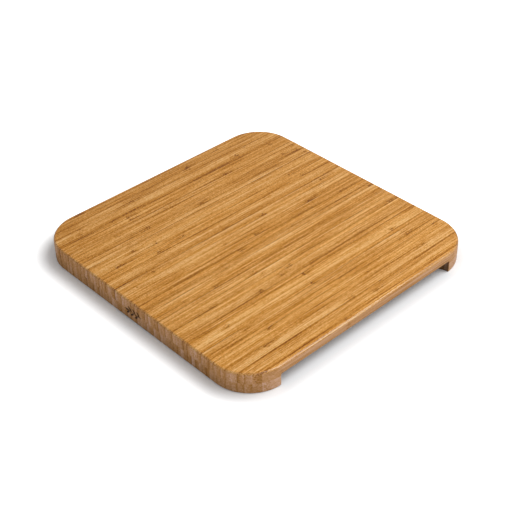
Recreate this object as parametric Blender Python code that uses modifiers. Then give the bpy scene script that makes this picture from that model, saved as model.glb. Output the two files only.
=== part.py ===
"""Bamboo cutting board: two glued layers of staves, rounded corners and a finger recess under two sides.

Metres, +Z up. +X runs along the grain. The origin is the middle of the underside.
"""
import math
import random

import bmesh
import bpy

# The whole board
BOARD_LENGTH = 0.400  # along the grain, X
BOARD_WIDTH = 0.405  # across the grain, Y
LAYER_THICKNESS = 0.015  # one of the two layers
CORNER_RADIUS = 0.054
TOP_ROUND = 0.003  # rounding round the rim of the work surface
BASE_ROUND = 0.002  # rounding round the rim of the underside

# The staves: each stands for a few narrow lamellas on edge
LAMELLA_WIDTH = 0.00643
LAMELLAS_PER_STAVE = 3
LAMELLAS_PER_EDGE_STAVE = 2  # the outer staves of the base are narrower, so the joints don't line up
GLUE_LINE = 0.0003  # gap between neighbouring staves, and between the layers

# The finger recess, cut up from the underside at the middle of each long-grain side
RECESS_OVERRUN = 0.0025  # how far each end of the recess lies past the straight part of the side
RECESS_DEPTH = 0.024  # inward from the side
RECESS_HEIGHT = 0.0165  # up from the underside
RECESS_CORNER_RADIUS = 0.023
RECESS_LIP_ROUND = 0.002  # rounding where the recess meets the side above it

# How finely the round shapes are divided, and how far a cutter stands out of what it cuts
CORNER_SEGMENTS = 16
RECESS_SEGMENTS = 8
ROUND_SEGMENTS = 4
CUTTER_MARGIN = 0.010

BAMBOO_COLOUR = (0.56, 0.28, 0.085)  # linear
BAMBOO_ROUGHNESS = 0.5
TONE_SPREAD = 0.18  # how far a stave may be lighter or darker than the colour
TONE_SEED = 7

BOARD_THICKNESS = 2 * LAYER_THICKNESS
HALF_LENGTH = BOARD_LENGTH / 2
HALF_WIDTH = BOARD_WIDTH / 2
HALF_RECESS = HALF_LENGTH - CORNER_RADIUS + RECESS_OVERRUN
TOP_LAYER_START = LAYER_THICKNESS + GLUE_LINE / 2
BASE_LAYER_END = LAYER_THICKNESS - GLUE_LINE / 2


def clear_scene():
    for obj in list(bpy.data.objects):
        bpy.data.objects.remove(obj, do_unlink=True)


def new_collection(name):
    collection = bpy.data.collections.new(name)
    bpy.context.scene.collection.children.link(collection)
    return collection


def rounded_outline(corners, segments):
    """Turn corners, each (x, y, radius) in counterclockwise order, into points with an arc at each."""
    points = []
    for index, (x, y, radius) in enumerate(corners):
        if radius == 0:
            points.append((x, y))
            continue
        before = corners[index - 1]
        after = corners[(index + 1) % len(corners)]
        way_in = math.atan2(y - before[1], x - before[0])
        way_out = math.atan2(after[1] - y, after[0] - x)
        turn = (way_out - way_in + math.pi) % (2 * math.pi) - math.pi
        side = math.copysign(math.pi / 2, turn)
        setback = radius * math.tan(abs(turn) / 2)
        centre_x = x - setback * math.cos(way_in) + radius * math.cos(way_in + side)
        centre_y = y - setback * math.sin(way_in) + radius * math.sin(way_in + side)
        for step in range(segments + 1):
            angle = way_in - side + turn * step / segments
            points.append((centre_x + radius * math.cos(angle), centre_y + radius * math.sin(angle)))
    return points


def extruded_outline(name, points, thickness, collection):
    """A flat outline made solid, lying level with its middle at height 0."""
    curve = bpy.data.curves.new(name, "CURVE")
    curve.dimensions = "2D"
    curve.fill_mode = "BOTH"
    curve.extrude = thickness / 2
    spline = curve.splines.new("POLY")
    spline.points.add(len(points) - 1)
    for target, (x, y) in zip(spline.points, points):
        target.co = (x, y, 0, 1)
    spline.use_cyclic_u = True
    guide = bpy.data.objects.new(name + "_outline", curve)
    bpy.context.scene.collection.objects.link(guide)
    evaluated = guide.evaluated_get(bpy.context.evaluated_depsgraph_get())
    mesh = bpy.data.meshes.new_from_object(evaluated)
    bpy.data.objects.remove(guide, do_unlink=True)
    bpy.data.curves.remove(curve)

    shape = bmesh.new()
    shape.from_mesh(mesh)
    bmesh.ops.remove_doubles(shape, verts=shape.verts, dist=0.00001)
    bmesh.ops.dissolve_limit(shape, angle_limit=0.001, verts=shape.verts, edges=shape.edges)
    bmesh.ops.recalc_face_normals(shape, faces=shape.faces)
    shape.to_mesh(mesh)
    shape.free()
    mesh.name = name
    solid = bpy.data.objects.new(name, mesh)
    collection.objects.link(solid)
    return solid


def as_cutter(obj):
    obj.hide_render = True
    obj.display_type = "WIRE"
    return obj


def round_rim(obj, name, height, width):
    """Bevel the rim whose points lie at this height in the object's own mesh."""
    group = obj.vertex_groups.new(name=name)
    rim = [vertex.index for vertex in obj.data.vertices if abs(vertex.co.z - height) < 0.0001]
    group.add(rim, 1.0, "REPLACE")
    bevel = obj.modifiers.new(name, "BEVEL")
    bevel.limit_method = "VGROUP"
    bevel.vertex_group = name
    bevel.width = width
    bevel.segments = ROUND_SEGMENTS


def make_envelope(collection):
    """The board's whole outer shape, which every stave is trimmed to."""
    corners = [
        (-HALF_LENGTH, -HALF_WIDTH, CORNER_RADIUS),
        (HALF_LENGTH, -HALF_WIDTH, CORNER_RADIUS),
        (HALF_LENGTH, HALF_WIDTH, CORNER_RADIUS),
        (-HALF_LENGTH, HALF_WIDTH, CORNER_RADIUS),
    ]
    outline = rounded_outline(corners, CORNER_SEGMENTS)
    envelope = extruded_outline("board_envelope", outline, BOARD_THICKNESS, collection)
    envelope.location.z = BOARD_THICKNESS / 2
    round_rim(envelope, "top_rim", BOARD_THICKNESS / 2, TOP_ROUND)
    round_rim(envelope, "base_rim", -BOARD_THICKNESS / 2, BASE_ROUND)
    return as_cutter(envelope)


def make_recess_plan(name, collection):
    """The recess seen from below, standing taller than the board."""
    back = -HALF_WIDTH + RECESS_DEPTH
    front = -HALF_WIDTH - CUTTER_MARGIN
    radius = min(RECESS_CORNER_RADIUS, RECESS_DEPTH)
    corners = [
        (-HALF_RECESS, front, 0),
        (HALF_RECESS, front, 0),
        (HALF_RECESS, back, radius),
        (-HALF_RECESS, back, radius),
    ]
    return extruded_outline(name, rounded_outline(corners, RECESS_SEGMENTS), 2 * BOARD_THICKNESS, collection)


def make_recess_cutter(name, turn, collection):
    """The recess: its plan, kept only below a ceiling that flares up at the lip."""
    front = -HALF_WIDTH - CUTTER_MARGIN
    back = -HALF_WIDTH + RECESS_DEPTH + CUTTER_MARGIN
    flare_top = RECESS_HEIGHT + RECESS_LIP_ROUND
    section = [
        (front, -CUTTER_MARGIN, 0),
        (back, -CUTTER_MARGIN, 0),
        (back, RECESS_HEIGHT, 0),
        (-HALF_WIDTH, RECESS_HEIGHT, RECESS_LIP_ROUND),
        (-HALF_WIDTH, flare_top + CUTTER_MARGIN, 0),
        (front, flare_top + CUTTER_MARGIN, 0),
    ]
    points = rounded_outline(section, ROUND_SEGMENTS)
    cutter = extruded_outline(name, points, 2 * (HALF_RECESS + CUTTER_MARGIN), collection)
    # The section's own X is the board's Y, its Y is the board's Z, and it is drawn out along the board's X
    cutter.rotation_euler = (math.pi / 2, 0, math.pi / 2 + turn)
    plan = as_cutter(make_recess_plan(name + "_plan", collection))
    plan.rotation_euler = (0, 0, turn)
    add_boolean(cutter, plan, "INTERSECT")
    return as_cutter(cutter)


def add_boolean(obj, other, operation):
    modifier = obj.modifiers.new(operation.lower() + "_" + other.name, "BOOLEAN")
    modifier.operation = operation
    modifier.object = other


def bamboo(name, tone):
    material = bpy.data.materials.new(name)
    material.use_nodes = True
    shader = material.node_tree.nodes["Principled BSDF"]
    shader.inputs["Base Color"].default_value = (*(channel * tone for channel in BAMBOO_COLOUR), 1)
    shader.inputs["Roughness"].default_value = BAMBOO_ROUGHNESS
    shader.inputs["Metallic"].default_value = 0
    return material


def make_stave(name, low, high, tone, trims, collection):
    """A block from corner low to corner high, trimmed by (object, operation) pairs."""
    mesh = bpy.data.meshes.new(name)
    block = bmesh.new()
    bmesh.ops.create_cube(block, size=1.0)
    size = [high[axis] - low[axis] for axis in range(3)]
    middle = [(high[axis] + low[axis]) / 2 for axis in range(3)]
    bmesh.ops.scale(block, vec=size, verts=block.verts)
    block.to_mesh(mesh)
    block.free()
    stave = bpy.data.objects.new(name, mesh)
    stave.location = middle
    stave.data.materials.append(bamboo("bamboo_" + name, tone))
    collection.objects.link(stave)
    for other, operation in trims:
        add_boolean(stave, other, operation)
    return stave


def joint_lines(edge_width, inner_count):
    """Where the staves of a layer begin and end across the board."""
    pitch = (BOARD_WIDTH - 2 * edge_width) / inner_count
    inner = [-HALF_WIDTH + edge_width + pitch * index for index in range(inner_count + 1)]
    if edge_width == 0:
        return inner
    return [-HALF_WIDTH] + inner + [HALF_WIDTH]


def build_layer(label, lines, bottom, top, envelope, recesses, collection):
    """One layer of staves. A stave that a recess cuts right through becomes a left and a right piece."""
    tones = random.Random(TONE_SEED + len(lines))
    beyond = HALF_LENGTH + CUTTER_MARGIN
    back_wall = HALF_WIDTH - RECESS_DEPTH
    cut_through_height = bottom < 0 and top < RECESS_HEIGHT
    last = len(lines) - 2
    for index in range(last + 1):
        low_y = lines[index] + (GLUE_LINE / 2 if index > 0 else -CUTTER_MARGIN)
        high_y = lines[index + 1] + (-GLUE_LINE / 2 if index < last else CUTTER_MARGIN)
        tone = 1 + tones.uniform(-TONE_SPREAD, TONE_SPREAD)
        name = f"{label}_stave_{index + 1:02d}"
        trims = [(envelope, "INTERSECT")]
        if low_y < -back_wall:
            trims.append((recesses[0], "DIFFERENCE"))
        if high_y > back_wall:
            trims.append((recesses[1], "DIFFERENCE"))
        spans = [("", -beyond, beyond)]
        if cut_through_height and (high_y <= -back_wall or low_y >= back_wall):
            spans = [("_left", -beyond, 0), ("_right", 0, beyond)]
        for ending, low_x, high_x in spans:
            low = (low_x, low_y, bottom)
            high = (high_x, high_y, top)
            make_stave(name + ending, low, high, tone, trims, collection)


def main():
    clear_scene()
    parts = new_collection("cutting_board")
    cutters = new_collection("cutters")
    envelope = make_envelope(cutters)
    recesses = [
        make_recess_cutter("front_recess", 0, cutters),
        make_recess_cutter("rear_recess", math.pi, cutters),
    ]

    stave_width = LAMELLA_WIDTH * LAMELLAS_PER_STAVE
    edge_width = LAMELLA_WIDTH * LAMELLAS_PER_EDGE_STAVE
    top_lines = joint_lines(0, round(BOARD_WIDTH / stave_width))
    base_lines = joint_lines(edge_width, round((BOARD_WIDTH - 2 * edge_width) / stave_width))
    above = BOARD_THICKNESS + CUTTER_MARGIN
    build_layer("top", top_lines, TOP_LAYER_START, above, envelope, recesses, parts)
    build_layer("base", base_lines, -CUTTER_MARGIN, BASE_LAYER_END, envelope, recesses, parts)


main()
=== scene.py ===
import math
import random

import bpy
from mathutils import Matrix, Vector


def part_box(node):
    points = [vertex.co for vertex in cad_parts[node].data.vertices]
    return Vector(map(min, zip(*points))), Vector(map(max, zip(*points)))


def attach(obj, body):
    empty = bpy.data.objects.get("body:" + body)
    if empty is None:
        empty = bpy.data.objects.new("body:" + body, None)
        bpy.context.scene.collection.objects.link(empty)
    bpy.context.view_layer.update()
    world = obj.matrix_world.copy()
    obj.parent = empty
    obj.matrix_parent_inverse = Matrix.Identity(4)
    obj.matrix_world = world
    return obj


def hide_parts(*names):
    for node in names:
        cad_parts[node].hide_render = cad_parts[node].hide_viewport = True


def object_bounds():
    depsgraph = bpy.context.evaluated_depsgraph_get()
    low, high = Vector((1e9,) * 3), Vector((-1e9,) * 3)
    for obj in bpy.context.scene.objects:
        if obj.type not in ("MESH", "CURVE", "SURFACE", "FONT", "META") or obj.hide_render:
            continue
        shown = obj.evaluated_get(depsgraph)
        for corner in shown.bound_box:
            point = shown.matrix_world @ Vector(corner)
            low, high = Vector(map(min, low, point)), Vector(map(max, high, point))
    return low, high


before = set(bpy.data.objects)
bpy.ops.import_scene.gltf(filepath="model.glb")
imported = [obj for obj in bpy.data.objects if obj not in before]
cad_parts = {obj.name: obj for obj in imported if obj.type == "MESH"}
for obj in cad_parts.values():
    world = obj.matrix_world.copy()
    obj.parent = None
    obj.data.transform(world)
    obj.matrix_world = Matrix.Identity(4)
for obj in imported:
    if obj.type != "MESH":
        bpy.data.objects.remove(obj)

cadLow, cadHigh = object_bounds()
tiny = 1e-5  # two places closer than this are the same, in metres
cutThreshold = 1e-6

board = {
    "cornerRadius": 0.054,
    "cornerSegments": 28,
    "topRound": 0.003,  # rounding round the work surface
    "topRoundSegments": 6,
    "baseRound": 0.002,
    "baseRoundSegments": 4,
    "smoothAngle": 35,  # degrees; an edge sharper than this stays sharp
}

recess = {
    "overrun": 0.0025,  # how far its ends pass the straight part of the side
    "depth": 0.024,
    "height": 0.0165,
    "cornerRadius": 0.023,
    "cornerSegments": 14,
    "lipRound": 0.002,
    "roundSegments": 4,
    "margin": 0.010,  # how far its cutter stands out of the board
    "wallLean": 0.1,  # how far a wall's direction may point up or down
}

sprig = {
    # an ornament of leaves on a stem, burnt into the left end
    "middle": (0.001, 0.0145),  # along Y, and up from the foot of the board
    "stemLength": 0.031,
    "stemWidth": 0.0012,
    "leafLength": 0.0082,
    "leafWidth": 0.0029,
    "leafCount": 6,
    "leafSpacing": 0.0040,
    "firstLeaf": 0.3,  # how far below the leaf at the tip, in spacings
    "leafTurn": 40,  # degrees away from the stem
    "burnDepth": 0.0005,
    "discSegments": 192,
}

lamellas = {
    "perStave": 3,
    "perEdgeStave": 2,  # the outer staves of the base are narrower
    # the top's seed was picked from many so that its lamellas run paler at the front and darker at the
    # rear, in part a painted fall-off of the light across the top
    "topSeed": 12162,
    "baseSeed": 23,
    "toneMiddle": 0.5,
    "toneSpread": 0.064,
    "leastOuterDark": 0.30,  # the palest outer side, as a share of the darkest
    "outerDarkPower": 1.7,
    "gluePower": 3,  # the higher, the fewer lamellas have a dark glue line
    "turnedShare": 0.22,  # lamellas glued in with the cane's outer side the other way
}


def pickOnly(piece):
    bpy.ops.object.select_all(action="DESELECT")
    piece.select_set(True)
    bpy.context.view_layer.objects.active = piece


def pickEdges(piece, wanted):
    # in object mode: marks only the edges whose two ends pass the test
    mesh = piece.data
    for polygon in mesh.polygons:
        polygon.select = False
    for vertex in mesh.vertices:
        vertex.select = False
    for edge in mesh.edges:
        first, second = (mesh.vertices[index].co for index in edge.vertices)
        edge.select = bool(wanted(first, second))


def bevelEdges(piece, wanted, width, segments):
    pickOnly(piece)
    pickEdges(piece, wanted)
    bpy.context.tool_settings.mesh_select_mode = (False, True, False)
    bpy.ops.object.mode_set(mode="EDIT")
    bpy.ops.mesh.bevel(offset=width, segments=segments, profile=0.5, affect="EDGES")
    bpy.ops.object.mode_set(mode="OBJECT")


def addBlock(name, low, high):
    bpy.ops.object.select_all(action="DESELECT")
    middle = (Vector(low) + Vector(high)) / 2
    size = Vector(high) - Vector(low)
    bpy.ops.mesh.primitive_cube_add(size=1, location=middle, scale=size)
    block = bpy.context.object
    block.name = name
    bpy.ops.object.transform_apply(location=True, rotation=True, scale=True)
    return block


def copyOf(source, name):
    pickOnly(source)
    bpy.ops.object.duplicate()
    copy = bpy.context.object
    copy.name = name
    copy.data.name = name
    return copy


def combine(piece, other, operation):
    # a boolean with the other piece, which is used up
    pickOnly(piece)
    boolean = piece.modifiers.new("boolean", "BOOLEAN")
    boolean.operation = operation
    boolean.object = other
    boolean.solver = "EXACT"
    bpy.ops.object.modifier_apply(modifier=boolean.name)
    bpy.data.objects.remove(other, do_unlink=True)


def keepSlab(piece, axis, low, high):
    # keeps what lies between two planes square to axis 0, 1 or 2, and closes the cuts
    normal = Vector((0, 0, 0))
    normal[axis] = 1
    bpy.ops.object.mode_set(mode="EDIT")
    bpy.context.tool_settings.mesh_select_mode = (True, False, False)
    for place, inner in ((low, True), (high, False)):
        if place is None:
            continue
        bpy.ops.mesh.select_all(action="SELECT")
        bpy.ops.mesh.bisect(plane_co=normal * place, plane_no=normal, use_fill=True,
                            clear_inner=inner, clear_outer=not inner, threshold=cutThreshold)
    bpy.ops.object.mode_set(mode="OBJECT")


def near(a, b):
    return abs(a - b) < tiny


def upright(first, second):
    return near(first.x, second.x) and near(first.y, second.y) and not near(first.z, second.z)


def levelAt(height):
    # the test for an edge that lies flat at this height
    return lambda first, second: near(first.z, height) and near(second.z, height)


def makeBlank():
    # the whole board as one block, before it is divided into staves
    blank = addBlock("blank", cadLow, cadHigh)
    bevelEdges(blank, upright, board["cornerRadius"], board["cornerSegments"])
    bevelEdges(blank, levelAt(cadHigh.z), board["topRound"], board["topRoundSegments"])
    bevelEdges(blank, levelAt(cadLow.z), board["baseRound"], board["baseRoundSegments"])
    return blank


def cutRecess(blank, side):
    # side is -1 for the front and 1 for the rear
    halfLength = cadHigh.x - board["cornerRadius"] + recess["overrun"]
    outer = side * cadHigh.y
    back = outer - side * recess["depth"]
    beyond = outer + side * recess["margin"]
    ceiling = cadLow.z + recess["height"]

    def backCorner(first, second):
        return upright(first, second) and near(first.y, back)

    def lip(first, second):
        onSide = near(first.y, outer) and near(second.y, outer)
        return onSide and levelAt(ceiling)(first, second)

    low = (-halfLength, min(back, beyond), cadLow.z - recess["margin"])
    high = (halfLength, max(back, beyond), ceiling)
    cutter = addBlock("recessCutter", low, high)
    bevelEdges(cutter, backCorner, recess["cornerRadius"], recess["cornerSegments"])
    combine(blank, cutter, "DIFFERENCE")
    bevelEdges(blank, lip, recess["lipRound"], recess["roundSegments"])


def makeLeaf():
    # a leaf is what two discs share: it stands on its tip and is pointed at both ends
    length, width = sprig["leafLength"], sprig["leafWidth"]
    radius = (length ** 2 + width ** 2) / (4 * width)
    discs = []
    for side in (-1, 1):
        bpy.ops.object.select_all(action="DESELECT")
        place = (0, side * (radius - width / 2), 0)
        bpy.ops.mesh.primitive_cylinder_add(vertices=sprig["discSegments"], radius=radius,
                                            depth=2 * sprig["burnDepth"], location=place,
                                            rotation=(0, math.pi / 2, 0))
        discs.append(bpy.context.object)
        bpy.ops.object.transform_apply(location=True, rotation=True, scale=True)
    leaf, other = discs
    leaf.name = "leaf"
    combine(leaf, other, "INTERSECT")
    return leaf


def burnSprig(blank):
    # the stem lies along Y, with leaves on either side in turn and one at its tip
    middleY, middleZ = sprig["middle"][0], cadLow.z + sprig["middle"][1]
    halfStem = sprig["stemLength"] / 2
    halfLeaf = sprig["leafLength"] / 2
    stemTop = middleY + halfStem - sprig["leafLength"]
    lying = -90  # turns a standing leaf until it lies along the stem
    places = [(stemTop + halfLeaf, 0, lying)]
    reach = halfLeaf + sprig["stemWidth"]
    turn = math.radians(sprig["leafTurn"])
    for index in range(sprig["leafCount"]):
        side = 1 if index % 2 else -1
        root = stemTop - (index + sprig["firstLeaf"]) * sprig["leafSpacing"]
        along = root + math.cos(turn) * reach
        places.append((along, side * math.sin(turn) * reach, lying + side * sprig["leafTurn"]))
    leaf = makeLeaf()
    for along, up, degrees in places:
        cutter = copyOf(leaf, "leafCutter")
        cutter.rotation_euler = (math.radians(degrees), 0, 0)
        cutter.location = (cadLow.x, along, middleZ + up)
        bpy.ops.object.transform_apply(location=True, rotation=True, scale=True)
        combine(blank, cutter, "DIFFERENCE")
    bpy.data.objects.remove(leaf, do_unlink=True)
    depth = sprig["burnDepth"]
    halfWidth = sprig["stemWidth"] / 2
    low = (cadLow.x - depth, middleY - halfStem, middleZ - halfWidth)
    high = (cadLow.x + depth, stemTop + sprig["stemWidth"], middleZ + halfWidth)
    combine(blank, addBlock("stemCutter", low, high), "DIFFERENCE")


def staveNumber(node):
    return node.split("_")[2]


def layerLines(nodes):
    # the joints of a layer, halfway between the CAD staves on either side
    spans = {}
    for node in nodes:
        low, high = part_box(node)
        spans[staveNumber(node)] = (low.y, high.y)
    ordered = [spans[key] for key in sorted(spans)]
    joints = [(ordered[i][1] + ordered[i + 1][0]) / 2 for i in range(len(ordered) - 1)]
    return [cadLow.y] + joints + [cadHigh.y]


def drawLamellas(count, seed):
    # chance settles each lamella's tone, how dark its outer side is, where its growth
    # rings lie, which way it faces, how warm it is and how dark its glue line is
    draw = random.Random(seed)
    drawn = []
    for index in range(count):
        tone = lamellas["toneMiddle"] + draw.gauss(0, lamellas["toneSpread"])
        least = lamellas["leastOuterDark"]
        outerDark = least + (1 - least) * draw.random() ** lamellas["outerDarkPower"]
        ringPlace = draw.random()
        turned = 1.0 if draw.random() < lamellas["turnedShare"] else 0.0
        warmth = draw.random()
        glue = draw.random() ** lamellas["gluePower"]
        drawn.append(((tone, outerDark, ringPlace), (turned, warmth, glue)))
    return drawn


def scoreLamellas(piece, low, high, count):
    # an edge loop at each lamella's border, so that each lamella has faces of its own
    bpy.ops.object.mode_set(mode="EDIT")
    bpy.context.tool_settings.mesh_select_mode = (True, False, False)
    for border in range(1, count):
        bpy.ops.mesh.select_all(action="SELECT")
        place = low + (high - low) * border / count
        bpy.ops.mesh.bisect(plane_co=(0, place, 0), plane_no=(0, 1, 0), threshold=cutThreshold)
    bpy.ops.object.mode_set(mode="OBJECT")


def isBurnt(polygon):
    # the sprig's sunk faces lie just behind the left end; this leaves out the rounded rim above
    # them but not the one at the foot, which shows as a thin dark line below the sprig
    middle = polygon.center
    sunk = middle.x - cadLow.x
    onFlat = abs(middle.y) < sprig["stemLength"] and middle.z < cadHigh.z - 2 * board["topRound"]
    return onFlat and tiny < sunk < sprig["burnDepth"] + tiny


def isInside(polygon):
    # the walls and the ceiling of the recesses, which get painted shade
    middle = polygon.center
    ceiling = cadLow.z + recess["height"]
    back = cadHigh.y - recess["depth"] - tiny
    side = cadHigh.x - board["cornerRadius"] + recess["overrun"] + tiny
    within = back < abs(middle.y) < cadHigh.y - recess["lipRound"] and abs(middle.x) < side
    wall = abs(polygon.normal.z) < recess["wallLean"] and middle.z < ceiling + tiny
    return within and (near(middle.z, ceiling) or wall)


def markLamellas(piece, low, high, firstNumber, drawn):
    # across rises by one over each lamella, and number is the lamella's own
    # cane: tone, darkness of the outer side, place of the growth rings
    # lay: 1 where it is turned, warmth, darkness of the glue line
    # facing: the face's direction, so its x is 1 or -1 on the sawn ends
    # finish: 1 in x where the sprig is burnt in, 1 in y inside a recess, where painted shade goes
    mesh = piece.data
    count = len(drawn)
    mesh.attributes.new("across", "FLOAT", "POINT")
    mesh.attributes.new("number", "FLOAT", "FACE")
    for name in ("cane", "lay", "facing", "burnAndRecessShade"):
        mesh.attributes.new(name, "FLOAT_VECTOR", "FACE")
    # fetched only now, because each new attribute moves the ones before it
    names = ("across", "number", "cane", "lay", "facing", "burnAndRecessShade")
    across, number, cane, lay, facing, burnAndRecessShade = (mesh.attributes[name].data for name in names)
    for vertex in mesh.vertices:
        across[vertex.index].value = firstNumber + count * (vertex.co.y - low) / (high - low)
    for polygon in mesh.polygons:
        share = (polygon.center.y - low) / (high - low)
        own = min(count - 1, max(0, int(share * count)))
        number[polygon.index].value = firstNumber + own
        cane[polygon.index].vector, lay[polygon.index].vector = drawn[own]
        facing[polygon.index].vector = polygon.normal
        burnAndRecessShade[polygon.index].vector = (float(isBurnt(polygon)), float(isInside(polygon)), 0)


def finishStave(piece, node, material):
    pickOnly(piece)
    bpy.ops.object.shade_smooth_by_angle(angle=math.radians(board["smoothAngle"]))
    piece.data.materials.clear()
    piece.data.materials.append(material)
    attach(piece, "root")
    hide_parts(node)


def makeLayer(blank, label, bottom, top, seed, material):
    # bottom or top is None where the layer ends in the board's own face
    nodes = sorted(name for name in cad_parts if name.startswith(label + "_stave"))
    lines = layerLines(nodes)
    counts = [lamellas["perStave"]] * (len(lines) - 1)
    if label == "base":
        counts[0] = counts[-1] = lamellas["perEdgeStave"]
    drawn = drawLamellas(sum(counts), seed)
    layer = copyOf(blank, label + "Layer")
    keepSlab(layer, 2, bottom, top)
    first = 0
    for index, count in enumerate(counts):
        low, high = lines[index], lines[index + 1]
        start = None if index == 0 else low
        end = None if index == len(counts) - 1 else high
        number = f"{index + 1:02d}"
        for node in (name for name in nodes if staveNumber(name) == number):
            # an end stave is two foot pieces, left and right of the recess
            ending = node.split("_")[3].capitalize() if node.count("_") == 3 else ""
            piece = copyOf(layer, label + "Stave" + number + ending)
            keepSlab(piece, 1, start, end)
            if ending == "Left":
                keepSlab(piece, 0, None, 0)
            if ending == "Right":
                keepSlab(piece, 0, 0, None)
            scoreLamellas(piece, low, high, count)
            markLamellas(piece, low, high, seed + first, drawn[first:first + count])
            finishStave(piece, node, material)
        first += count
    bpy.data.objects.remove(layer, do_unlink=True)
    print(label, "layer:", len(nodes), "pieces,", first, "lamellas")


cane = {
    # how the tone changes over one lamella, from the cane's inner side to its outer side
    "darkPower": 3.2,
    "darkAmount": 0.31,
    "paleReach": 0.22,  # of the lamella's width
    "paleAmount": 0.12,
    "lift": 0.03,
    "broadFace": 0.35,  # what the long sides show, as a place between inner and outer
}

fibres = {
    # how many to the metre along X, Y and Z, the noise's detail, and what becomes 0 and 1
    "Fine": ((12, 1000, 1000), 2.0, (0.3, 0.7)),
    "Fleck": ((500, 950, 950), 1.0, (0.3, 0.7)),
    "Streak": ((6, 430, 430), 3.0, (0.3, 0.7)),
    "Drift": ((11, 60, 60), 1.0, (0.25, 0.75)),
}

bundles = {
    "size": (32, 900, 900),
    "randomness": 0.95,
    "reach": (0.16, 0.42),  # at the cane's inner and outer side
    "edge": (-0.05, 0.16),
    "shift": 0.713,  # metres that the pattern moves from one lamella to the next
}

rings = {
    "spacing": 0.30,  # metres between the growth rings of a cane
    "middle": (0.4, 0.2),  # a ring's place in its stretch: the least, and what chance adds
    "waveSize": (60, 500, 500),
    "waveHeight": 0.010,
    "tail": (0.010, 0.018),  # metres: the least, and what chance adds
    "tailPower": 1.5,
    "front": 0.0045,
    "outerReach": 0.5,  # the mark fades over this share of the width from the inner side
    "speckRange": (0.25, 0.60),
    "plain": 0.25,  # shares of the mark that are unbroken, in threads and in specks
    "threads": 0.35,
    "specks": 0.45,
    "scarWidth": 0.0024,
    "scarAmount": 0.8,
    "strength": (0.20, 0.72),  # the least, and what chance adds
    "strengthPower": 1.8,
    "chanceStep": 13.7,  # keeps the chance of one ring apart from the next one's
}

bamboo = {
    # the colour from the darkest growth ring to the palest fibre
    "shades": (
        (0.0, (0.175, 0.045, 0.004)),
        (0.25, (0.455, 0.170, 0.013)),
        (0.5, (0.634, 0.282, 0.055)),
        (0.75, (0.825, 0.442, 0.142)),
        (1.0, (0.920, 0.605, 0.270)),
    ),
    "coolTint": (0.985, 1.0, 1.06),  # lamellas differ between these two
    "warmTint": (1.015, 1.0, 0.92),
    "sideTintAndReflection": (1.05, 1.18, 2.32),  # the sawn sides are greyer than the oiled flats, partly as a painted reflection of the white floor
    # how far a face has to turn before it counts as each of these
    "endTurn": (0.2, 0.9),
    "flankTurn": (0.75, 0.98),
    "sideTurn": (0.05, 0.5),
    "rimTurn": (0.93, 0.995),
    # how strongly each pattern tells, on the flats and on the sides
    "patterns": {"Fine": (0.50, 0.24), "Fleck": (0.30, 0.10), "Streak": (0.18, 0.18),
                 "Drift": (0.08, 0.08)},
    "bundles": (0.06, 0.13),  # on the flats and on the sawn ends
    "ringDark": 0.58,
    "glueDark": (0.04, 0.30),  # the least, and what chance adds
    "glueWidth": (0.03, 0.09),  # shares of the lamella's width
    "burnt": (0.050, 0.028, 0.015),
    "burntCover": 0.86,  # where the palest fibres show through
    "paintedRecessShade": 0.38,  # painted shade on the recess walls
    "paintedFlankShade": 0.87,  # the long sides, darkened as painted shade
    "paintedRimShade": 0.86,  # the rounded rim, darkened as painted shade
    "paintedFootShade": 0.72,  # painted shade: the sawn ends darken to this at the foot
    "endContrast": 1.05,
    "roughness": 0.34,
    "fibreRoughness": 0.08,  # these three are added to it
    "sideRoughness": 0.12,
    "endRoughness": 0.12,
    "specular": 0.20,
    "oil": 0.03,  # on the flats
    "rimOil": 1.0,  # round the edges, rubbed to a shine
    "oilRoughness": 0.09,
    "glueRelief": 3.0,
    "bundleRelief": 0.5,
    "bumpStrength": 0.4,
    "bumpDistance": 0.00004,
}


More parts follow.
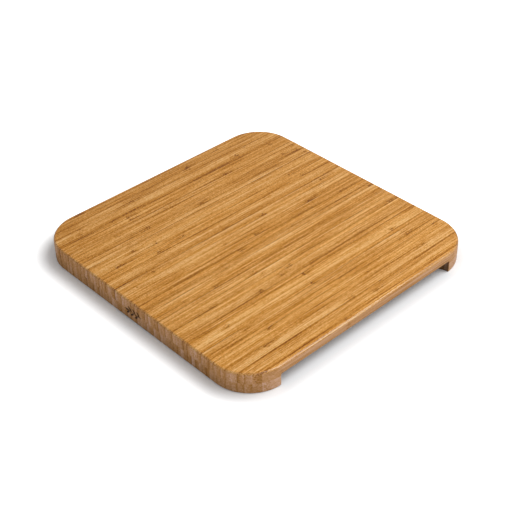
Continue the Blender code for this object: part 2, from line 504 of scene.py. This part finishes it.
class Tree:
    # a short way to write shader nodes
    def __init__(self, tree):
        self.tree = tree

    def node(self, kind, inputs=None, **settings):
        made = self.tree.nodes.new(kind)
        for key, value in settings.items():
            setattr(made, key, value)
        for key, value in (inputs or {}).items():
            self.feed(made.inputs[key], value)
        return made

    def feed(self, socket, value):
        if isinstance(value, bpy.types.NodeSocket):
            self.tree.links.new(value, socket)
        else:
            socket.default_value = value

    def math(self, operation, first, second=0.0, third=0.0, clamp=False):
        inputs = {0: first, 1: second, 2: third}
        return self.node("ShaderNodeMath", inputs, operation=operation, use_clamp=clamp).outputs[0]

    def add(self, first, second):
        return self.math("ADD", first, second)

    def subtract(self, first, second, clamp=False):
        return self.math("SUBTRACT", first, second, clamp=clamp)

    def multiply(self, first, second, clamp=False):
        return self.math("MULTIPLY", first, second, clamp=clamp)

    def fade(self, mask, value):
        # 1 where the mask is 0, and the value where it is 1
        return self.subtract(1.0, self.multiply(mask, self.subtract(1.0, value)))

    def spread(self, chance, leastAndMore):
        # the least, and what chance adds to it
        least, more = leastAndMore
        return self.add(least, self.multiply(chance, more))

    def vector(self, operation, first, second=(0, 0, 0)):
        made = self.node("ShaderNodeVectorMath", {0: first, 1: second}, operation=operation)
        return made.outputs[0]

    def ramp(self, value, low, high, start=0.0, end=1.0):
        # a smooth change from start to end as the value goes from low to high
        inputs = {"Value": value, "From Min": low, "From Max": high, "To Min": start, "To Max": end}
        made = self.node("ShaderNodeMapRange", inputs, interpolation_type="SMOOTHSTEP")
        return made.outputs["Result"]

    def noise(self, point, size, **settings):
        inputs = {"Vector": self.vector("MULTIPLY", point, size), "Scale": 1.0}
        for key, value in settings.items():
            inputs[key.capitalize()] = value
        return self.node("ShaderNodeTexNoise", inputs).outputs["Fac"]

    def random(self, value):
        # three independent numbers for each value
        made = self.node("ShaderNodeTexWhiteNoise", {"W": value}, noise_dimensions="1D")
        return self.node("ShaderNodeSeparateColor", {0: made.outputs["Color"]}).outputs

    def mix(self, share, first, second, blend="MIX"):
        made = self.node("ShaderNodeMix", data_type="RGBA", blend_type=blend)
        self.feed(made.inputs[0], share)
        self.feed(made.inputs[6], first if isinstance(first, bpy.types.NodeSocket) else (*first, 1))
        self.feed(made.inputs[7], second if isinstance(second, bpy.types.NodeSocket) else (*second, 1))
        return made.outputs[2]

    def number(self, name):
        return self.node("ShaderNodeAttribute", attribute_name=name).outputs["Fac"]

    def parts(self, vector):
        return self.node("ShaderNodeSeparateXYZ", {0: vector}).outputs

    def partsOf(self, name):
        # the three numbers of a face attribute
        return self.parts(self.node("ShaderNodeAttribute", attribute_name=name).outputs["Vector"])

    def place(self, group, inputs):
        return self.node("ShaderNodeGroup", inputs, node_tree=group).outputs


def newGroup(name, inputs, outputs):
    # an input that starts as a tuple is a vector, and every output is one number
    group = bpy.data.node_groups.new(name, "ShaderNodeTree")
    for label, value in inputs.items():
        kind = "NodeSocketVector" if isinstance(value, tuple) else "NodeSocketFloat"
        socket = group.interface.new_socket(label, in_out="INPUT", socket_type=kind)
        socket.default_value = value
    for label in outputs:
        group.interface.new_socket(label, in_out="OUTPUT", socket_type="NodeSocketFloat")
    tree = Tree(group)
    return group, tree, tree.node("NodeGroupInput").outputs, tree.node("NodeGroupOutput").inputs


def makeLamellaGroup():
    # the place on the cane, the distance to the glue line and the tone there
    group, tree, given, out = newGroup(
        "lamellaPlace", {"Flank": 0.0}, ("Outer", "Edge", "Number", "Tone", "Ring", "Warmth", "Glue"))
    number = tree.number("number")
    own = tree.partsOf("cane")
    lay = tree.partsOf("lay")
    across = tree.subtract(tree.number("across"), number, clamp=True)
    # a lamella that isn't turned has its outer side towards -Y
    flip = tree.subtract(1.0, lay["X"])
    outer = tree.math("ABSOLUTE", tree.subtract(across, flip))
    edge = tree.math("MINIMUM", across, tree.subtract(1.0, across))
    # on the long sides one lamella's broad face shows, with no change across it and no glue line
    toBroad = tree.subtract(cane["broadFace"], outer)
    outer = tree.add(outer, tree.multiply(given["Flank"], toBroad))
    edge = tree.add(edge, tree.multiply(given["Flank"], 0.5))
    dark = tree.multiply(tree.math("POWER", outer, cane["darkPower"]), own["Y"])
    pale = tree.multiply(tree.ramp(outer, 0.0, cane["paleReach"], 1, 0), cane["paleAmount"])
    tone = tree.add(tree.subtract(own["X"], tree.multiply(dark, cane["darkAmount"])), pale)
    tone = tree.add(tone, cane["lift"])
    tree.feed(out["Outer"], outer)
    tree.feed(out["Edge"], edge)
    tree.feed(out["Number"], number)
    tree.feed(out["Tone"], tone)
    tree.feed(out["Ring"], own["Z"])
    tree.feed(out["Warmth"], lay["Y"])
    tree.feed(out["Glue"], lay["Z"])
    return group


def makeFibreGroup():
    # fibre streaks and vascular bundles, long along the grain and round across it
    inputs = {"Point": (0, 0, 0), "Outer": 0.0, "Number": 0.0}
    group, tree, given, out = newGroup("fibres", inputs, (*fibres, "Bundle"))
    shift = tree.multiply(given["Number"], bundles["shift"])
    shift = tree.node("ShaderNodeCombineXYZ", {0: shift}).outputs[0]
    point = tree.vector("ADD", given["Point"], shift)
    for label, (size, detail, (low, high)) in fibres.items():
        value = tree.noise(point, size, detail=detail, roughness=0.55)
        tree.feed(out[label], tree.ramp(value, low, high))
    inputs = {"Vector": tree.vector("MULTIPLY", point, bundles["size"]), "Scale": 1.0,
              "Randomness": bundles["randomness"]}
    cells = tree.node("ShaderNodeTexVoronoi", inputs).outputs
    reach = tree.ramp(given["Outer"], 0.0, 1.0, *bundles["reach"])
    tree.feed(out["Bundle"], tree.ramp(tree.subtract(reach, cells["Distance"]), *bundles["edge"]))
    return group


def makeRingGroup():
    # growth rings: a scar across the lamella and a dark tail, broken up by the fibres
    inputs = {"Along": 0.0, "Point": (0, 0, 0), "Number": 0.0, "Ring": 0.0, "Outer": 0.0,
              "Fine": 0.0, "Fleck": 0.0, "Spacing": rings["spacing"]}
    group, tree, given, out = newGroup("growthRings", inputs, ("Mark",))
    spacing = given["Spacing"]
    turns = tree.add(tree.math("DIVIDE", given["Along"], spacing), given["Ring"])
    turn = tree.multiply(tree.math("FLOOR", turns), rings["chanceStep"])
    chance = tree.random(tree.add(turn, given["Number"]))
    middle = tree.spread(chance[0], rings["middle"])
    away = tree.multiply(tree.subtract(tree.math("FRACT", turns), middle), spacing)
    wave = tree.noise(given["Point"], rings["waveSize"], detail=1.0)
    away = tree.add(away, tree.multiply(tree.subtract(wave, 0.5), rings["waveHeight"]))
    # the tail lies on one side of the scar or on the other
    side = tree.subtract(tree.multiply(tree.math("GREATER_THAN", chance[2], 0.5), 2.0), 1.0)
    away = tree.multiply(away, side)
    ahead = tree.math("MAXIMUM", away, 0.0)
    behind = tree.math("MAXIMUM", tree.multiply(away, -1.0), 0.0)
    reach = tree.spread(chance[1], rings["tail"])
    tail = tree.subtract(1.0, tree.math("DIVIDE", ahead, reach), clamp=True)
    tail = tree.math("POWER", tail, rings["tailPower"])
    front = tree.ramp(behind, 0.0, rings["front"], 1, 0)
    onOuter = tree.ramp(given["Outer"], 0.0, rings["outerReach"])
    body = tree.multiply(tree.multiply(tail, front), onOuter)
    # the fibres break the mark into threads and specks
    speck = tree.ramp(given["Fleck"], *rings["speckRange"], 1, 0)
    thread = tree.subtract(1.0, given["Fine"])
    broken = tree.add(rings["plain"], tree.multiply(thread, rings["threads"]))
    broken = tree.add(broken, tree.multiply(speck, rings["specks"]))
    scar = tree.ramp(tree.math("ABSOLUTE", away), 0.0, rings["scarWidth"], 1, 0)
    scar = tree.multiply(tree.multiply(scar, speck), rings["scarAmount"])
    mark = tree.add(tree.multiply(body, broken), scar)
    strength = tree.math("POWER", chance[1], rings["strengthPower"])
    strength = tree.spread(strength, rings["strength"])
    tree.feed(out["Mark"], tree.multiply(mark, strength, clamp=True))
    return group


groups = {"lamella": makeLamellaGroup(), "fibre": makeFibreGroup(), "ring": makeRingGroup()}


def makeBamboo(name, values):
    material = bpy.data.materials.new(name)
    material.use_nodes = True
    tree = Tree(material.node_tree)
    shader = material.node_tree.nodes["Principled BSDF"]
    point = tree.node("ShaderNodeTexCoord").outputs["Object"]
    spot = tree.parts(point)
    facing = tree.partsOf("facing")
    burnAndRecessShade = tree.partsOf("burnAndRecessShade")
    end = tree.ramp(tree.math("ABSOLUTE", facing["X"]), *values["endTurn"])
    flank = tree.ramp(tree.math("ABSOLUTE", facing["Y"]), *values["flankTurn"])
    side = tree.ramp(tree.math("ABSOLUTE", facing["Z"]), *values["sideTurn"], 1, 0)
    rim = tree.ramp(facing["Z"], *values["rimTurn"], 1, 0)
    flat = tree.subtract(1.0, side)
    place = tree.place(groups["lamella"], {"Flank": flank})
    fibre = tree.place(groups["fibre"], {
        "Point": point, "Outer": place["Outer"], "Number": place["Number"]})
    ring = tree.place(groups["ring"], {
        "Along": spot["X"], "Point": point, "Number": place["Number"], "Ring": place["Ring"],
        "Outer": place["Outer"], "Fine": fibre["Fine"], "Fleck": fibre["Fleck"],
        "Spacing": rings["spacing"]})

    # one number from dark to pale, and then the colour that goes with it
    contrast = tree.ramp(end, 0, 1, 1.0, values["endContrast"])
    tone = tree.math("MULTIPLY_ADD", tree.subtract(place["Tone"], 0.5), contrast, 0.5)
    for label, (flatShare, sideShare) in values["patterns"].items():
        share = tree.ramp(side, 0, 1, flatShare, sideShare)
        tone = tree.add(tone, tree.multiply(tree.subtract(fibre[label], 0.5), share))
    share = tree.ramp(end, 0, 1, *values["bundles"])
    tone = tree.subtract(tone, tree.multiply(fibre["Bundle"], share))
    tone = tree.subtract(tone, tree.multiply(ring["Mark"], values["ringDark"]))
    glue = tree.spread(place["Glue"], values["glueDark"])
    line = tree.multiply(tree.ramp(place["Edge"], *values["glueWidth"], 1, 0), glue)
    tone = tree.subtract(tone, line)
    colour = tree.node("ShaderNodeValToRGB", {"Fac": tone})
    stops = colour.color_ramp.elements
    for position, shade in values["shades"][1:-1]:
        stops.new(position)
    for stop, (position, shade) in zip(stops, values["shades"]):
        stop.position = position
        stop.color = (*shade, 1)
    wood = colour.outputs["Color"]
    tint = tree.mix(place["Warmth"], values["coolTint"], values["warmTint"])
    wood = tree.mix(1.0, wood, tint, "MULTIPLY")
    # the sides' tint: paler raw wood, and partly a painted reflection of the white floor
    wood = tree.mix(side, wood, tree.mix(1.0, wood, values["sideTintAndReflection"], "MULTIPLY"))

    # painted shade: the sawn ends towards the foot, the long sides, the rim and the recess walls are
    # darker
    foot = tree.ramp(spot["Z"], cadLow.z, cadHigh.z - board["topRound"], values["paintedFootShade"], 1.0)
    shade = tree.fade(end, foot)
    shade = tree.multiply(shade, tree.fade(flank, values["paintedFlankShade"]))
    shade = tree.multiply(shade, tree.fade(tree.multiply(rim, flat), values["paintedRimShade"]))
    shade = tree.multiply(shade, tree.fade(burnAndRecessShade["Y"], values["paintedRecessShade"]))
    shade = tree.node("ShaderNodeCombineColor", {0: shade, 1: shade, 2: shade}).outputs[0]
    wood = tree.mix(1.0, wood, shade, "MULTIPLY")
    cover = tree.ramp(fibre["Fine"], 0, 1, 1.0, values["burntCover"])
    wood = tree.mix(tree.multiply(burnAndRecessShade["X"], cover), wood, values["burnt"])
    tree.feed(shader.inputs["Base Color"], wood)

    rough = tree.add(values["roughness"], tree.multiply(fibre["Fine"], values["fibreRoughness"]))
    rough = tree.add(rough, tree.multiply(side, values["sideRoughness"]))
    rough = tree.add(rough, tree.multiply(end, values["endRoughness"]))
    tree.feed(shader.inputs["Roughness"], rough)
    shader.inputs["Specular IOR Level"].default_value = values["specular"]
    # the oil lies on the flats and round their edges
    oil = tree.ramp(rim, 0, 1, values["oil"], values["rimOil"])
    tree.feed(shader.inputs["Coat Weight"], tree.multiply(flat, oil))
    shader.inputs["Coat Roughness"].default_value = values["oilRoughness"]
    relief = tree.subtract(fibre["Fine"], tree.multiply(line, values["glueRelief"]))
    relief = tree.subtract(relief, tree.multiply(fibre["Bundle"], values["bundleRelief"]))
    bump = tree.node("ShaderNodeBump", {"Strength": values["bumpStrength"],
                                        "Distance": values["bumpDistance"], "Height": relief})
    tree.feed(shader.inputs["Normal"], bump.outputs["Normal"])
    return material


studio = {
    "floorSize": 30,
    "floorColour": 0.60,  # as the board sees it
    "shadowedFloorNear": (0.95, 0.97, 0.99),  # as the camera sees it, at the board's foot, where it is darker as a painted shadow
    "floorFar": (1.75, 1.75, 1.75),  # and away from it, where it clips to white
    "floorShadowReach": (0.002, 0.045),  # metres from the board, from the one to the other: the painted shadow fades over these
    "floorGlow": 0.02,
    "farGlow": 0.6,  # keeps the far floor white, where the key doesn't reach
    "glowReach": (0.4, 2.5),  # metres from the board, from the one to the other
    "worldLight": 0.42,
    "keyLevel": 0.555,  # how bright the key light alone makes a white floor
    "keyAzimuth": -44,  # degrees from +X, in the plane of the floor
    "keyElevation": 57,
    "keyDistance": 2.4,
    "keySize": 1.76,
    "fillLevel": 0.038,  # a weak light low in front
    "fillAzimuth": -108,
    "fillElevation": 29.6,
    "fillDistance": 0.91,
    "fillSize": 0.5,
    "cardLevel": 3.0,  # a small card that shows only as a gleam
    "cardAzimuth": -65.5,
    "cardElevation": 23.5,
    "cardDistance": 1.6,
    "cardSize": 0.62,
}

view = {
    "azimuth": -42.2,
    "elevation": 37.01,
    "distance": 1.444,
    "lens": 77.37,
    "roll": -1.427,
    "shiftX": 0.00203,
    "shiftY": -0.00542,
}


def makeFloor():
    bpy.ops.object.select_all(action="DESELECT")
    bpy.ops.mesh.primitive_plane_add(size=studio["floorSize"], location=(0, 0, cadLow.z))
    floor = bpy.context.object
    floor.name = "floor"
    material = bpy.data.materials.new("floorWhite")
    material.use_nodes = True
    tree = Tree(material.node_tree)
    shader = material.node_tree.nodes["Principled BSDF"]
    shader.inputs["Roughness"].default_value = 1
    shader.inputs["Specular IOR Level"].default_value = 0
    # distance from the board's rounded outline; the 1 leaves height out of it
    radius = board["cornerRadius"]
    point = tree.vector("ABSOLUTE", tree.node("ShaderNodeTexCoord").outputs["Object"])
    beyond = tree.vector("SUBTRACT", point, (cadHigh.x - radius, cadHigh.y - radius, 1))
    beyond = tree.vector("MAXIMUM", beyond, (0, 0, 0))
    away = tree.node("ShaderNodeVectorMath", {0: beyond}, operation="LENGTH").outputs["Value"]
    low, high = (radius + reach for reach in studio["floorShadowReach"])
    # painted shadow: the floor the camera sees is darker near the board's outline
    white = tree.mix(tree.ramp(away, low, high), studio["shadowedFloorNear"], studio["floorFar"])
    path = tree.node("ShaderNodeLightPath").outputs
    pale = [studio["floorColour"]] * 3
    tree.feed(shader.inputs["Base Color"], tree.mix(path["Is Camera Ray"], pale, white))
    seen = tree.math("MAXIMUM", path["Is Glossy Ray"], path["Is Transmission Ray"])
    seen = tree.math("MAXIMUM", path["Is Camera Ray"], seen)
    shader.inputs["Emission Color"].default_value = (1, 1, 1, 1)
    glow = tree.ramp(away, *studio["glowReach"], studio["floorGlow"], studio["farGlow"])
    tree.feed(shader.inputs["Emission Strength"], tree.multiply(seen, glow))
    floor.data.materials.append(material)


def aimLight(name):
    # a square area light that looks at the middle of the floor
    bpy.ops.object.select_all(action="DESELECT")
    flat = math.radians(studio[name + "Azimuth"])
    up = math.radians(studio[name + "Elevation"])
    towards = Vector((math.cos(flat) * math.cos(up), math.sin(flat) * math.cos(up), math.sin(up)))
    bpy.ops.object.light_add(type="AREA", location=towards * studio[name + "Distance"])
    light = bpy.context.object
    light.name = name + "Light"
    light.rotation_euler = towards.to_track_quat("Z", "Y").to_euler()
    light.data.size = studio[name + "Size"]
    return light


def makeLight():
    world = bpy.data.worlds.new("studio")
    bpy.context.scene.world = world
    world.use_nodes = True
    tree = Tree(world.node_tree)
    backdrop = world.node_tree.nodes["Background"]
    seen = tree.node("ShaderNodeLightPath").outputs["Is Camera Ray"]
    inputs = {"Value": seen, "To Min": studio["worldLight"], "To Max": 1.0}
    strength = tree.node("ShaderNodeMapRange", inputs).outputs["Result"]
    backdrop.inputs["Color"].default_value = (1, 1, 1, 1)
    tree.feed(backdrop.inputs["Strength"], strength)
    # the key and the fill light the middle of a white floor to their levels
    for name in ("key", "fill"):
        light = aimLight(name)
        light.data.energy = studio[name + "Level"] * math.pi ** 2 * studio[name + "Distance"] ** 2
        light.data.energy /= math.sin(math.radians(studio[name + "Elevation"]))
    # the card's level is how bright it looks
    card = aimLight("card")
    card.data.energy = studio["cardLevel"] * math.pi * studio["cardSize"] ** 2
    card.visible_diffuse = False


def makeCamera():
    around = math.radians(view["azimuth"])
    up = math.radians(view["elevation"])
    back = Vector((math.sin(around) * math.cos(up), -math.cos(around) * math.cos(up), math.sin(up)))
    bpy.ops.object.select_all(action="DESELECT")
    bpy.ops.object.camera_add(location=back * view["distance"])
    camera = bpy.context.object
    camera.name = "camera"
    roll = Matrix.Rotation(math.radians(view["roll"]), 3, "Z")
    turn = (-back).to_track_quat("-Z", "Y").to_matrix() @ roll
    camera.rotation_euler = turn.to_euler()
    camera.data.lens = view["lens"]
    camera.data.shift_x = view["shiftX"]
    camera.data.shift_y = view["shiftY"]
    bpy.context.scene.camera = camera


blank = makeBlank()
cutRecess(blank, -1)
cutRecess(blank, 1)
burnSprig(blank)
print("blank: ready")
topBamboo = makeBamboo("bambooTop", bamboo)
baseBamboo = makeBamboo("bambooBase", bamboo)
print("materials: ready")
jointHeight = (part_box("top_stave_01")[0].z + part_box("base_stave_02")[1].z) / 2
makeLayer(blank, "top", jointHeight, None, lamellas["topSeed"], topBamboo)
makeLayer(blank, "base", None, jointHeight, lamellas["baseSeed"], baseBamboo)
bpy.data.objects.remove(blank, do_unlink=True)
makeFloor()
makeLight()
makeCamera()
bpy.context.scene.view_settings.view_transform = "Standard"
print("studio: ready")
